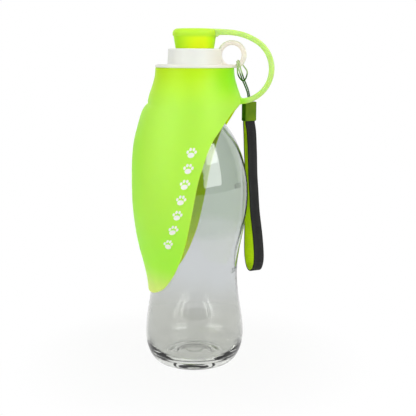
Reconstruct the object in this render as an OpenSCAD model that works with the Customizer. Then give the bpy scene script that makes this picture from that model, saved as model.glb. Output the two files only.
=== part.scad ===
// Travel water bottle for dogs: clear bottle, screw cap, silicone bowl leaf,
// tethered stopper and a wrist lanyard. Millimetres, Z up, origin on the
// bottle's axis at the plane it stands on. The leaf hangs toward -X, the
// tether, the cap's ring and the lanyard toward +X.

/* [Bottle] */
// widest radius of the bottle, at the bulge
bulge_r = 39.1; // [35:0.1:44]
// height of the bulge above the base
bulge_z = 126; // [110:1:140]
// radius of the narrow waist
waist_r = 31.6; // [28:0.1:34]
// height of the waist
waist_z = 64; // [55:1:75]
// radius of the foot above its rounded corner
foot_r = 36.3; // [33:0.1:40]
// height at which the foot's rounded corner ends
foot_z = 21; // [14:1:26]
// radius of the ring the bottle stands on
stand_r = 25; // [20:0.5:30]
// height of the pushed-up centre of the base
push_up = 7; // [3:0.5:12]
// how far below the bulge centre the shoulder's ellipse would close, above
shoulder_h = 63; // [55:1:75]
// outer radius of the neck
neck_r = 21.5; // [18:0.1:24]
// bore radius of the neck
neck_bore_r = 19.7; // [16:0.1:22]
// height of the bottle's mouth
mouth_z = 216; // [205:0.5:225]
// wall of the blown bottle
bottle_wall = 1.2; // [0.8:0.1:2]
// how far the support bead stands out of the neck
bead_h = 2.1; // [0.5:0.1:3]
// depth of the support bead's middle below the mouth
bead_drop = 20.5; // [16:0.1:30]

/* [Screw thread] */
// rise of the thread in one turn
pitch = 4; // [2:0.5:6]
// turns of thread on the neck
neck_turns = 1.5; // [1:0.25:2.5]
// turns of thread in the cap
cap_turns = 1.25; // [0.75:0.25:2]
// height of a thread's crest above its wall
thread_h = 1.25; // [0.6:0.05:1.5]
// depth below the mouth at which the neck's thread starts
thread_drop = 10.6; // [8:0.1:14]

/* [Cap] */
// outer radius of the cap's upper cylinder at its foot
cap_r = 19.1; // [17:0.1:22]
// how much the upper cylinder narrows toward its top
cap_draft = 0.5; // [0:0.1:1.5]
// height of the upper cylinder above the flange
cap_h = 11.1; // [8:0.1:16]
// how far the flange stands out of the skirt
flange_lip = 2.4; // [1:0.1:5]
// thickness of the flange
flange_t = 2.8; // [2:0.1:4]
// thickness of the sealing ring between mouth and cap
seal_t = 1.7; // [1:0.1:2.5]
// wall of the threaded skirt inside the silicone collar
skirt_wall = 2.4; // [1.6:0.1:3]
// height of the skirt under the flange
skirt_h = 17.7; // [15:0.1:20]
// wall of the upper cylinder and of the top plate
cap_wall = 1.8; // [1.2:0.1:3]
// radius of the spout hole in the top plate
spout_r = 8.4; // [6:0.1:11]

/* [Lanyard ring on the cap] */
// radius of the ring's hole
ring_in = 7; // [5:0.1:8]
// width of the ring's band
ring_band = 3.4; // [2:0.1:5]
// distance between the ring's hole and the cap's upper cylinder
ring_off = 0.7; // [0:0.1:3]
// thickness of the ring
ring_t = 4; // [3:0.1:6]

/* [Stopper and tether] */
// radius of the stopper's top band
knob_r = 15.3; // [13:0.1:18]
// height of the stopper above the cap
knob_h = 14.4; // [11:0.1:20]
// how much narrower the stopper's body is where it stands on the cap
knob_taper = 2.1; // [0:0.1:4]
// height of the top band
knob_band = 5; // [3:0.1:7]
// length of the spigot inside the spout
spigot_h = 7.6; // [5:0.1:10]
// width of the tether strap
tether_w = 9; // [6:0.5:12]
// thickness of the tether strap
tether_t = 3.8; // [2.5:0.1:5]
// radius of the tether's lower loop, on its centre line
loop_r = 20; // [16:0.1:24]
// distance of the lower loop's centre from the bottle's axis
loop_x = 35.7; // [32:0.1:40]
// height of the lower loop's centre above the bottle's mouth
loop_up = 0; // [-4:0.1:4]
// direction from the loop's centre to the tether's living hinge
hinge_deg = 35.6; // [20:0.1:50]

/* [Silicone bowl] */
// wall of the collar
collar_wall = 2; // [1.5:0.1:3]
// wall of the leaf
leaf_wall = 1.7; // [1.2:0.1:2.5]
// height of the bell under the flange
bell_h = 22.7; // [18:0.1:28]
// length of the leaf from the fold to its tip
leaf_len = 138.2; // [110:0.1:150]
// distance of the fold from the bottle's axis
fold_x = 36.4; // [34:0.1:38]
// distance in front of the axis where the fold line meets the leaf's edge
fold_end_x = 6; // [0:0.5:12]
// how far below the fold its line meets the leaf's edge
fold_drop = 59.2; // [45:0.1:70]

/* [Lanyard] */
// diameter of the round cord
cord_d = 1; // [0.8:0.1:1.6]
// width of the webbing
web_w = 8.2; // [7:0.1:12]
// thickness of one layer of webbing
web_t = 1; // [0.6:0.1:1.4]
// width of the sleeve
sleeve_w = 9.6; // [8:0.1:14]
// thickness of the sleeve
sleeve_t = 5.6; // [5:0.1:8]
// height of the sleeve
sleeve_h = 14; // [10:0.5:18]
// turn of the sleeve about the vertical
sleeve_deg = 40; // [0:1:90]

/* [Hidden] */
$fn = 72;
clear = 0.25; // between a thread's crest and the wall it faces
slack = 0.1; // round a piece that plugs in
seam = 0.35; // gap at a living hinge
past = 1; // how far a cut runs past what it cuts
edge = 0.6; // small moulded edge

function mix(a, b, t) = a + (b - a) * t;
function ease(t) = (1 - cos(180 * t)) / 2;

// value at z of a smooth line through stations [z, value] in falling order
function slope(s, i) =
    let (a = max(0, i - 1), b = min(len(s) - 1, i + 1))
    (s[b][1] - s[a][1]) / (s[b][0] - s[a][0]);
function seg(s, z, i = 0) =
    (i >= len(s) - 2 || z > s[i + 1][0]) ? i : seg(s, z, i + 1);
function smooth(s, z) =
    let (
        i = seg(s, z),
        h = s[i + 1][0] - s[i][0],
        t = max(0, min(1, (z - s[i][0]) / h)),
        m0 = slope(s, i) * h,
        m1 = slope(s, i + 1) * h
    )
    (2 * pow(t, 3) - 3 * pow(t, 2) + 1) * s[i][1]
        + (pow(t, 3) - 2 * pow(t, 2) + t) * m0
        + (3 * pow(t, 2) - 2 * pow(t, 3)) * s[i + 1][1]
        + (pow(t, 3) - pow(t, 2)) * m1;

// heights of the parts that stack up on the bottle's mouth
bead_z = mouth_z - bead_drop;
bead_r = neck_r + bead_h;
neck_thread_z = mouth_z - thread_drop;
flange_z = mouth_z + seal_t;
flange_top = flange_z + flange_t;
cap_top_z = flange_top + cap_h;
knob_top_z = cap_top_z + knob_h;
skirt_z = flange_z - skirt_h;
skirt_in = neck_r + thread_h + clear;
skirt_r = skirt_in + skirt_wall;
flange_r = skirt_r + flange_lip;
cap_top_r = cap_r - cap_draft;
ring_x = cap_r + ring_off + ring_in;
ring_z = flange_top + ring_in - 0.3;
ring_out = ring_in + ring_band;
knob_foot_r = knob_r - knob_taper;
bell_z = flange_z - bell_h;
fold_z = bell_z - 1.8;

// ---- bottle ----------------------------------------------------------
neck_foot_z = bulge_z + shoulder_h * sqrt(1 - pow(neck_r / bulge_r, 2));

// outer radius of the blown body at height z
function body_r(z) =
    z < foot_z ? stand_r + (foot_r - stand_r) * sqrt(max(0, 1 - pow(1 - z / foot_z, 2)))
    : z < waist_z ? mix(foot_r, waist_r, ease((z - foot_z) / (waist_z - foot_z)))
    : z < bulge_z ? mix(waist_r, bulge_r, ease((z - waist_z) / (bulge_z - waist_z)))
    : z < neck_foot_z ? bulge_r * sqrt(1 - pow((z - bulge_z) / shoulder_h, 2))
    : neck_r;

// heights of the profile's corners, closer together where it bends
zs_foot = [for (i = [0:6]) foot_z * (1 - cos(15 * i))];
zs_body = [for (i = [1:12]) mix(foot_z, bulge_z, i / 12)];
zs_shoulder = [for (i = [1:8]) bulge_z + (neck_foot_z - bulge_z) * sin(90 * i / 8)];
zs_out = concat(zs_foot, zs_body, zs_shoulder);

module bottle_outline() {
    polygon(concat(
        [for (i = [0:4]) [(stand_r - 3) * i / 4, push_up * (1 - pow(i / 4, 2))]],
        [for (z = zs_out) [body_r(z), z]],
        [
            [neck_r, bead_z - 1.3],
            [bead_r, bead_z - 0.5],
            [bead_r, bead_z + 0.5],
            [neck_r, bead_z + 1.3],
            [neck_r, mouth_z - 0.4],
            [neck_r - 0.4, mouth_z],
            [neck_bore_r + 0.4, mouth_z],
            [neck_bore_r, mouth_z - 0.4],
            [neck_bore_r, neck_foot_z + 3]
        ],
        [for (i = [len(zs_out) - 1:-1:1])
            let (z = zs_out[i]) [min(neck_bore_r + (z < neck_foot_z ? 99 : 0),
                body_r(z) - bottle_wall), max(z, bottle_wall + 0.6)]],
        [[stand_r - 1.5, bottle_wall + 0.2]],
        [for (i = [4:-1:0])
            [(stand_r - 4.5) * i / 4, bottle_wall + push_up * (1 - pow(i / 4, 2))]]
    ));
}

// a thread: trapezoid ridge on radius r, its crest to the side dir (1 out, -1 in)
module thread(r, dir, z0, turns) {
    n = ceil(turns * 36);
    foot = 1.9;
    tip = 0.9;
    rings = [for (i = [0:n])
        let (
            a = 360 * turns * i / n,
            k = min(1, min(i, n - i) / 4 + 0.15),
            z = z0 + pitch * turns * i / n
        )
        [for (p = [[-0.5, -foot / 2], [-0.5, foot / 2], [thread_h * k, tip / 2],
            [thread_h * k, -tip / 2]])
            [(r + dir * p[0]) * cos(a), (r + dir * p[0]) * sin(a), z + p[1]]]];
    tube(rings, dir > 0);
}

// closed solid through a list of equal rings; flip turns its faces
module tube(rings, flip = false) {
    m = len(rings[0]);
    n = len(rings);
    pts = [for (q = rings) for (p = q) p];
    sides = [for (i = [0:n - 2]) for (j = [0:m - 1])
        let (a = i * m + j, b = i * m + (j + 1) % m, c = b + m, d = a + m)
        [[a, b, c], [a, c, d]]];
    ends = [[for (j = [m - 1:-1:0]) j], [for (j = [0:m - 1]) (n - 1) * m + j]];
    faces = concat([for (s = sides) for (f = s) f], ends);
    polyhedron(pts, flip ? [for (f = faces) [for (k = [len(f) - 1:-1:0]) f[k]]] : faces);
}

// closed band through rings that come back to the first one
module hoop(rings) {
    m = len(rings[0]);
    n = len(rings);
    faces = [for (i = [0:n - 1]) for (j = [0:m - 1])
        let (a = i * m + j, b = i * m + (j + 1) % m,
            c = ((i + 1) % n) * m + (j + 1) % m, d = ((i + 1) % n) * m + j)
        [[a, b, c], [a, c, d]]];
    polyhedron([for (q = rings) for (p = q) p], [for (f = faces) for (g = f) g]);
}

module bottle() {
    color([0.75, 0.85, 0.8, 0.5])
    union() {
        rotate_extrude() bottle_outline();
        thread(neck_r, 1, neck_thread_z, neck_turns);
    }
}

// ---- cap -------------------------------------------------------------
spout_end_z = cap_top_z - spigot_h - 0.8;
cap_thread_z = neck_thread_z - pitch / 2 + seam;

module cap_outline() {
    polygon([
        [skirt_in + 0.5, skirt_z],
        [skirt_r - 0.5, skirt_z],
        [skirt_r, skirt_z + 0.5],
        [skirt_r, flange_z],
        [flange_r - edge, flange_z],
        [flange_r, flange_z + edge],
        [flange_r, flange_top - edge],
        [flange_r - edge, flange_top],
        [cap_r, flange_top],
        [cap_top_r, cap_top_z - edge],
        [cap_top_r - edge, cap_top_z],
        [spout_r + 0.4, cap_top_z],
        [spout_r, cap_top_z - 0.4],
        [spout_r, spout_end_z],
        [spout_r + 1.4, spout_end_z],
        [spout_r + 1.4, cap_top_z - cap_wall],
        [cap_top_r - cap_wall, cap_top_z - cap_wall],
        [cap_r - cap_wall, flange_z],
        [skirt_in, flange_z],
        [skirt_in, skirt_z + 0.5]
    ]);
}

// rounded section of the lanyard ring, in the plane (radius, along its axis)
module ring_section() {
    w = ring_out - ring_in;
    k = 0.9;
    translate([ring_in, -ring_t / 2])
    polygon([[k, 0], [w - k, 0], [w, k], [w, ring_t - k], [w - k, ring_t],
        [k, ring_t], [0, ring_t - k], [0, k]]);
}

module cap() {
    color([0.96, 0.94, 0.87])
    union() {
        rotate_extrude() cap_outline();
        difference() {
            translate([ring_x, 0, ring_z])
                rotate([90, 0, 0])
                rotate_extrude() ring_section();
            translate([0, 0, flange_z - ring_out])
                cylinder(r = ring_x + ring_out + past, h = ring_out);
            translate([0, 0, flange_z - past])
                cylinder(r = cap_r - 1, h = cap_h + flange_t + 2 * past);
        }
        translate([flange_r - 3, -2.4, flange_z])
            cube([5, 4.8, flange_t]);
        thread(skirt_in, -1, cap_thread_z, cap_turns);
    }
}

module cap_seal() {
    color([0.8, 0.82, 0.8])
    rotate_extrude()
    polygon([
        [cap_r - cap_wall + 0.6, mouth_z],
        [skirt_in - 0.2, mouth_z],
        [skirt_in - 0.2, flange_z],
        [cap_r - cap_wall + 0.6, flange_z]
    ]);
}

// ---- silicone bowl ---------------------------------------------------
// the bell's outline, in parts of its height and of the flange's radius
bell = [for (s = [[0, 0.995], [0.295, 1.02], [0.546, 1.079], [0.824, 1.158],
    [1, 1.194]])
    [flange_z - bell_h * s[0], flange_r * s[1]]];
// the leaf's outlines on its middle line and at its sides, and the height of its
// hem round from the middle line, in parts of its length and of the bulge's radius
function leaf_line(s) = [for (p = s) [fold_z - leaf_len * p[0], bulge_r * p[1]]];
middle = concat(bell, leaf_line([[0.004, 0.86], [0.008, 0.918], [0.033, 0.966],
    [0.103, 1.034], [0.24, 1.137], [0.378, 1.182], [0.515, 1.162], [0.675, 1.086],
    [0.768, 1.018], [0.848, 0.946], [0.935, 0.893], [1, 0.876], [1.04, 0.874]]));
sides = concat(bell, leaf_line([[0.06, 0.911], [0.204, 1.004], [0.349, 1.063],
    [0.479, 1.084], [0.638, 1.044], [0.783, 0.965], [0.935, 0.898], [1.04, 0.893]]));
hem = [for (p = [[180, 0.004], [165, 0.006], [152.8, 0.025], [140.2, 0.058],
    [118.5, 0.161], [110.5, 0.228], [105, 0.302], [99.8, 0.391], [93, 0.576],
    [87.8, 0.696], [81.5, 0.783], [72.2, 0.87], [59, 0.942], [49.5, 0.97],
    [35.5, 0.993], [20, 0.999], [0, 1]])
    [p[0], fold_z - leaf_len * p[1]]];

// outer radius at phi degrees from the middle line and height z
function bowl_r(phi, z) =
    let (a = smooth(middle, z), b = smooth(sides, z), c = cos(phi))
    abs(phi) >= 90 ? b : 1 / sqrt(pow(c / a, 2) + pow(sin(phi) / b, 2));
function bowl_wall(z) =
    z > seat_z ? smooth(bell, z) - skirt_r - slack / 2
    : z > thin_z ? mix(collar_wall, smooth(bell, seat_z) - skirt_r - slack / 2,
        (z - thin_z) / (seat_z - thin_z))
    : z > fold_z ? collar_wall
    : leaf_wall;
function hem_z(phi) = smooth(hem, abs(phi));

// the fold runs down each side in a plane through the hinge line
fold_slope = fold_drop / (fold_x + fold_end_x);
function fold_at(phi, z = 170, n = 24) =
    n == 0 ? z
    : fold_at(phi, mix(z, fold_z - fold_slope * (fold_x - bowl_r(phi, z) * cos(phi)),
        0.35), n - 1);
leaf_deg = 96;

function bowl_point(phi, z, d) =
    let (r = bowl_r(phi, z) - d) [-r * cos(phi), r * sin(phi), z];
function bowl_section(phi, zs) = concat(
    [for (z = zs) bowl_point(phi, z, 0)],
    [for (i = [len(zs) - 1:-1:0]) bowl_point(phi, zs[i], bowl_wall(zs[i]))]);

seat_z = flange_z - 6.7;
thin_z = seat_z - 3;
collar_zs = [for (t = [0, 0.14, 0.291, 0.43, 0.56, 0.71, 0.87, 0.98])
    flange_z - bell_h * t];
function collar_foot(phi) =
    abs(phi) > leaf_deg + 0.2 ? hem_z(phi) : fold_at(phi);
function collar_section(phi) =
    let (z = collar_foot(phi))
    bowl_section(phi, concat(collar_zs, [for (i = [1:8]) mix(collar_zs[7], z, i / 8)]));
collar_phis = concat([for (i = [-35:35]) if (i != 19 && i != -19) i * 5], [180],
    [leaf_deg - 0.1, leaf_deg + 0.45, -leaf_deg + 0.1, -leaf_deg - 0.45]);
function sorted(v) = len(v) < 2 ? v
    : let (p = v[floor(len(v) / 2)])
    concat(sorted([for (a = v) if (a < p) a]), [p], sorted([for (a = v) if (a > p) a]));

module bowl_collar() {
    color([0.6, 0.9, 0.15])
    hoop([for (phi = sorted(collar_phis)) collar_section(phi)]);
}

module bowl_leaf() {
    n = 40;
    color([0.66, 0.92, 0.3])
    tube([for (i = [0:n])
        let (phi = mix(0.4 - leaf_deg, leaf_deg - 0.4, i / n),
            top = fold_at(phi) - 1.5 * seam)
        bowl_section(phi, [for (k = [0:14]) mix(top, hem_z(phi), k / 14)])]);
}

// ---- tether and stopper ----------------------------------------------
loop_z = mouth_z + loop_up;
tether_z = knob_top_z - knob_band / 2 - 0.46;
hinge_p = [loop_x + loop_r * cos(hinge_deg), loop_z + loop_r * sin(hinge_deg)];
arm_r = (tether_z - hinge_p[1]) / (1 - sin(hinge_deg));
arm_c = hinge_p - arm_r * [cos(hinge_deg), sin(hinge_deg)];
swing_axis = hinge_p + tether_t / 2 * [cos(hinge_deg), sin(hinge_deg)];
root_z = loop_z - loop_r;
root_gap = 0.15; // between the strap's foot and the collar's curved wall

module strap_section() {
    k = 0.9;
    a = tether_t / 2;
    b = tether_w / 2;
    polygon([[-a, -b + k], [-a + k, -b], [a - k, -b], [a, -b + k],
        [a, b - k], [a - k, b], [-a + k, b], [-a, b - k]]);
}
module strap_arc(c, r, a0, a1) {
    translate([c[0], 0, c[1]])
        rotate([90, 0, 0])
        rotate([0, 0, a0])
        rotate_extrude(angle = a1 - a0)
        translate([r, 0])
        strap_section();
}
module strap_run(x0, x1, z) {
    translate([x0, 0, z])
        rotate([0, 90, 0])
        linear_extrude(x1 - x0)
        strap_section();
}

module tether_loop() {
    a = asin(seam / 2 / loop_r);
    color([0.72, 0.94, 0.44])
    difference() {
        union() {
            strap_arc([loop_x, loop_z], loop_r, -90, hinge_deg - a);
            strap_run(loop_x - 1.5 * tether_t, loop_x, root_z);
        }
        translate([0, 0, root_z - tether_t])
            cylinder(r1 = smooth(sides, root_z - tether_t) + root_gap,
                r2 = smooth(sides, root_z + tether_t) + root_gap, h = 2 * tether_t);
    }
}

module tether_arm() {
    a = asin(seam / 2 / arm_r);
    color([0.72, 0.94, 0.44])
    difference() {
        union() {
            strap_arc(arm_c, arm_r, hinge_deg + a, 90);
            strap_run(knob_r - tether_t / 2, arm_c[0], tether_z);
        }
        cylinder(r = knob_r, h = knob_top_z + past);
    }
}

module stopper() {
    band_z = knob_top_z - knob_band;
    color([0.78, 0.95, 0.05])
    rotate_extrude()
    polygon([
        [0, cap_top_z - spigot_h],
        [spout_r - 1.2, cap_top_z - spigot_h],
        [spout_r - 0.8, cap_top_z - spigot_h + 0.5],
        [spout_r - slack, cap_top_z - 0.6],
        [spout_r - slack, cap_top_z],
        [knob_foot_r, cap_top_z],
        [knob_r - 0.5, band_z],
        [knob_r, band_z + 0.3],
        [knob_r, knob_top_z - 1.4],
        [knob_r - 0.5, knob_top_z - 0.45],
        [knob_r - 1.6, knob_top_z],
        [0, knob_top_z]
    ]);
}

// ---- lanyard ---------------------------------------------------------
hang = [ring_x, 0, ring_z];
sleeve_at = hang + [12.2, 10.2, -47.2];
hitch_r = ring_in - cord_d - 0.15;
hitch = [ring_x + hitch_r * cos(45), ring_z - hitch_r * sin(45)];
cord_gap = 0.62;
cord_in = 3.4; // how deep the cord's ends sit in the sleeve
web_in = 9.5; // how deep the webbing's ends sit in the sleeve

// one cord: up from the sleeve, over the ring, round as a bight and back; both
// routes are measured from the centre of the ring that the lanyard hangs on
cord_route = [
    [12.7, 10.6, -36.6], [12.7, 10.6, -33.2], [11.9, 8.8, -26.2], [9.9, 5.4, -20.2],
    [8.8, 2.9, -17.2], [7.8, -0.4, -13.8], [6.8, -2.7, -10.2], [5.7, -2.75, -6.6],
    [4.8, -2.2, -4.1], [4.5, 0, -3.7], [4.9, 2.2, -4.1], [6.6, 2.8, -6], [8.8, 2.6, -8.2],
    [10.9, 1.8, -11.4], [10.5, 1.2, -15], [9, 0.6, -17.7], [7.3, 0.6, -17.6],
    [5.2, 1.2, -15.2], [4.1, 2, -12.2], [3.9, 2.75, -8.7], [3.7, 2.75, -6.2],
    [3.7, 2, -4.8], [3.7, 0, -4.5], [3.8, -2.1, -4.7], [4.5, -2.75, -7.4], [5.6, -2.7, -11],
    [6.7, -0.4, -14.6], [7.7, 2.9, -18], [8.9, 5.4, -21], [10.9, 8.4, -26.8],
    [11.7, 9.8, -33.2], [11.7, 9.8, -36.6]
];
// the webbing's line between its two layers: down the far half, up the near one
web_route = [
    [11.56, 10.97, -37.7], [11.56, 10.97, -42.2], [11.56, 10.97, -46.2],
    [11.56, 10.97, -48.7], [11.9, 12.4, -56.2], [12.3, 14.7, -70.2], [13.1, 17.2, -87.2],
    [13.5, 18.2, -101.2], [13.4, 18.8, -115.2], [13.2, 19.3, -135.2], [13.5, 19, -151.2],
    [15.1, 16.2, -159.6], [17.3, 12.8, -162], [19.6, 9.1, -159.6], [21, 6.7, -151.2],
    [19.9, 8.3, -135.2], [17.2, 13.5, -115.2], [16.1, 15.2, -101.2], [15.1, 15.2, -87.2],
    [14.6, 12.4, -70.2], [13.9, 10.7, -56.2], [12.84, 9.43, -48.7], [12.84, 9.43, -46.2],
    [12.84, 9.43, -42.2], [12.84, 9.43, -37.7]
];

// smooth line through points, n steps between two of them
function along(p, i, t) =
    let (a = p[max(0, i - 1)], b = p[i], c = p[i + 1], d = p[min(len(p) - 1, i + 2)])
    b + t / 2 * (c - a) + t * t / 2 * (2 * a - 5 * b + 4 * c - d)
        + t * t * t / 2 * (3 * b - a - 3 * c + d);
function line(p, n) = concat(
    [for (i = [0:len(p) - 2]) for (k = [0:n - 1]) along(p, i, k / n)],
    [p[len(p) - 1]]);
function unit(v) = v / norm(v);
function heading(q, i) = i == 0 ? unit(q[1] - q[0])
    : i == len(q) - 1 ? unit(q[i] - q[i - 1])
    : unit(q[i + 1] - q[i - 1]);
// a side direction carried along a line without twist
function carried(q, i = 0, v = [0, 1, 0], out = []) =
    i == len(q) ? out
    : let (t = heading(q, i), w = unit(v - (v * t) * t))
    carried(q, i + 1, w, concat(out, [w]));

module lanyard_cord() {
    q = line([for (p = cord_route) hang + p], 2);
    w = carried(q);
    color([0.3, 0.5, 0.1])
    tube([for (i = [0:len(q) - 1])
        let (t = heading(q, i), u = cross(t, w[i]))
        [for (k = [7:-1:0]) q[i] + cord_d / 2 * (cos(45 * k) * w[i] + sin(45 * k) * u)]]);
}

module cord_sleeve() {
    k = 1.2;
    a = sleeve_w / 2;
    b = sleeve_t / 2;
    color([0.35, 0.5, 0.02])
    translate(sleeve_at)
    rotate([0, 0, sleeve_deg])
    difference() {
        linear_extrude(sleeve_h)
            polygon([[-a + k, -b], [a - k, -b], [a - 0.35, -b + 0.35], [a, -b + k],
                [a, b - k], [a - 0.35, b - 0.35], [a - k, b], [-a + k, b],
                [-a + 0.35, b - 0.35], [-a, b - k], [-a, -b + k], [-a + 0.35, -b + 0.35]]);
        translate([-web_w / 2 - slack, -2 * web_t - slack, -past])
            cube([web_w + 2 * slack, 4 * web_t + 2 * slack, web_in + past]);
        for (s = [-1, 1])
            translate([s * cord_gap, 0, sleeve_h - cord_in])
            cylinder(d = cord_d + slack, h = cord_in + past, $fn = 24);
    }
}

// one layer of the webbing, from offset a to offset b toward the loop's inside
module web_layer(a, b) {
    q = line([for (p = web_route) hang + p], 3);
    tube([for (i = [0:len(q) - 1])
        let (
            t = heading(q, i),
            turn = mix(31, sleeve_deg, max(0, min(1, (q[i][2] - 80) / 60))),
            s = [cos(turn), sin(turn), 0],
            w = unit(s - (s * t) * t) * web_w / 2,
            u = cross(t, unit(w))
        )
        [q[i] - w + a * u, q[i] + w + a * u, q[i] + w + b * u, q[i] - w + b * u]]);
}

module webbing_outer() {
    color([0.12, 0.12, 0.12]) web_layer(-web_t, 0);
}

module webbing_inner() {
    color([0.6, 0.85, 0.05]) web_layer(0, web_t);
}

bottle();
cap();
cap_seal();
bowl_collar();
bowl_leaf();
tether_loop();
tether_arm();
stopper();
lanyard_cord();
cord_sleeve();
webbing_outer();
webbing_inner();
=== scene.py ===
import math

import bmesh
import bpy
import numpy as np
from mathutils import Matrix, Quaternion, Vector


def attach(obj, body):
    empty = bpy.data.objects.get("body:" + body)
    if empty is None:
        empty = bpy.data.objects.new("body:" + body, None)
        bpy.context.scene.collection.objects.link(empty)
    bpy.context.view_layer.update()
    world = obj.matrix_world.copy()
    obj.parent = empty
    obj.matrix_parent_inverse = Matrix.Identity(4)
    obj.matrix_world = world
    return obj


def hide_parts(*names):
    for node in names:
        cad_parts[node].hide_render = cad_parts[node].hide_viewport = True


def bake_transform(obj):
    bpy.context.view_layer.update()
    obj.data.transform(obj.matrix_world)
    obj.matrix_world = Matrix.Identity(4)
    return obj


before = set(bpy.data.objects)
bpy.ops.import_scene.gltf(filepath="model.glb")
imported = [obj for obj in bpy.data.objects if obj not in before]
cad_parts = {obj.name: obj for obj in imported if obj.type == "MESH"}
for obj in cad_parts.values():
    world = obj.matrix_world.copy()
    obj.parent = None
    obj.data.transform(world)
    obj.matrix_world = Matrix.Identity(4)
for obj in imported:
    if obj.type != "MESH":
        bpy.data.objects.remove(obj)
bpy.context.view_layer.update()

MM = 0.001
TURN = 2 * math.pi

# Sizes in millimetres, as read from the photograph. They are later than the solids' sizes
# and differ from them by some millimetres in places.
BULGE_R, BULGE_Z, SHOULDER_H = 39.1, 126.0, 63.0
WAIST_R, WAIST_Z = 31.8, 67.0
FOOT_R, FOOT_Z, STAND_R, PUSH_UP = 36.6, 21.0, 25.0, 7.0
DOME_R, DOME_SINK, DOME_EDGE, DOME_RINGS = 22.0, 0.35, 0.6, ((13.5, 0.22), (7.5, 0.12))
NECK_R, BORE_R, MOUTH_Z = 21.5, 19.7, 216.0
WALL, FLOOR_WALL, FOOT_IN, FOOT_IN_Z = 1.2, 1.6, 12.0, 18.5  # foot's inner corner and its start
SHOULDER_Z, NECK_Z, SCREW_Z = 170.0, 190.0, 202.0
BEAD_R, BEAD_Z = 23.6, 195.5
PITCH, THREAD_H, NECK_THREAD_Z, NECK_TURNS = 4.0, 1.25, 205.4, 1.5
CAP_THREAD_Z, CAP_TURNS = 203.75, 1.25
CAP_R, CAP_TOP_R, CAP_TOP_Z = 19.5, 19.0, 231.6
FLANGE_R, FLANGE_Z, FLANGE_TOP = 28.25, 218.3, 220.5
SKIRT_R, SKIRT_IN, SKIRT_Z = 25.4, 23.0, 200.6
SPOUT_R, SPOUT_END_Z = 8.4, 223.2
RING_X, RING_Z, RING_IN, RING_OUT, RING_T = 26.5, 227.2, 7.0, 10.4, 4.0
KNOB_R, KNOB_FOOT_R, KNOB_TOP_Z, KNOB_BAND_Z = 15.8, 13.7, 245.5, 240.5
SPIGOT_Z = 224.0
TETHER_W, TETHER_T = 9.0, 3.8
LOOP, LOOP_R, BEND = (32.1, 217.5), 22.8, math.radians(58.2)
ARM, ARM_R, ARM_Z = (22.341, 201.760), 41.32, 243.08
TETHER_FROM, TETHER_TO, COLLAR_X = 31.2, 11.2, 32.6  # its ends in collar and stopper
BELL_H, LEAF_LEN, FOLD_Z = 23.3, 138.2, 193.2
LEAF_WALL, COLLAR_WALL = 1.7, 2.0
CORD_D, WEB_W, WEB_T = 1.0, 8.2, 1.0
SLEEVE_AT, SLEEVE_TURN = (38.7, 10.2, 180.0), math.radians(40)
SLEEVE_W, SLEEVE_T, SLEEVE_H = 10.4, 5.6, 14.0


# ---- camera -----------------------------------------------------------

def place_camera():
    """Camera 585 mm in front of the bottle, 7 degrees to its right, looking 10.75 degrees down
    and rolled by a quarter of a degree."""
    side, aside, down = math.radians(7), math.radians(0.97), math.radians(10.75)
    roll = math.radians(0.25)
    camera = bpy.data.objects.new("camera", bpy.data.cameras.new("camera"))
    bpy.context.scene.collection.objects.link(camera)
    camera.data.lens = 69.75
    camera.data.sensor_width = 36
    camera.data.clip_start = 0.01
    camera.location = (0.585 * math.sin(side), -0.585 * math.cos(side), 0.2272)
    heading = math.pi / 2 + side - aside
    look = Vector((math.cos(heading) * math.cos(down),
                   math.sin(heading) * math.cos(down), -math.sin(down)))
    turn = look.to_track_quat("-Z", "Y") @ Quaternion((0, 0, 1), roll)
    camera.rotation_euler = turn.to_euler()
    bpy.context.scene.camera = camera


place_camera()
bpy.context.scene.view_settings.view_transform = "Standard"


# ---- surfaces ---------------------------------------------------------

def surface(name, points, loop_rows=False, loop_cols=False, uv=None):
    """Mesh over a grid of points (rows, columns, 3) in millimetres; each cell of the grid is
    one face, whose outer side is columns x rows. uv holds the row and column values."""
    points = np.asarray(points, float)
    rows, cols = points.shape[:2]
    row, col = np.meshgrid(np.arange(rows if loop_rows else rows - 1),
                           np.arange(cols if loop_cols else cols - 1), indexing="ij")
    row, col = row.ravel(), col.ravel()
    below, beside = (row + 1) % rows, (col + 1) % cols
    faces = np.stack([row * cols + col, row * cols + beside,
                      below * cols + beside, below * cols + col], -1)
    mesh = bpy.data.meshes.new(name)
    mesh.from_pydata((points.reshape(-1, 3) * MM).tolist(), [], faces.tolist())
    mesh.polygons.foreach_set("use_smooth", np.ones(len(faces), bool))
    if uv is not None:
        along, across = uv
        corners = np.stack([
            np.stack([across[col], along[row]], -1), np.stack([across[col + 1], along[row]], -1),
            np.stack([across[col + 1], along[row + 1]], -1),
            np.stack([across[col], along[row + 1]], -1)], 1)
        mesh.uv_layers.new(name="run").data.foreach_set("uv", corners.ravel())
    piece = bpy.data.objects.new(name, mesh)
    bpy.context.scene.collection.objects.link(piece)
    return piece


def welded(piece):
    """Merges points that fall together, such as a pole's or a seam's."""
    work = bmesh.new()
    work.from_mesh(piece.data)
    bmesh.ops.remove_doubles(work, verts=work.verts, dist=1e-6)
    bmesh.ops.dissolve_degenerate(work, edges=work.edges, dist=5e-7)
    work.to_mesh(piece.data)
    work.free()
    return piece


def read_points(mesh):
    """The mesh's points, as rows of three."""
    co = np.zeros(len(mesh.vertices) * 3)
    mesh.vertices.foreach_get("co", co)
    return co.reshape(-1, 3)


def note(mesh, name, rows):
    """Writes three numbers at each point under that name, for the materials to read."""
    mesh.attributes.new(name, "FLOAT_VECTOR", "POINT").data.foreach_set("vector", rows.ravel())


def joined(name, pieces):
    """One object from several."""
    bpy.ops.object.select_all(action="DESELECT")
    for piece in pieces:
        piece.select_set(True)
    bpy.context.view_layer.objects.active = pieces[0]
    bpy.ops.object.join()
    pieces[0].name = name
    return pieces[0]


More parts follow.
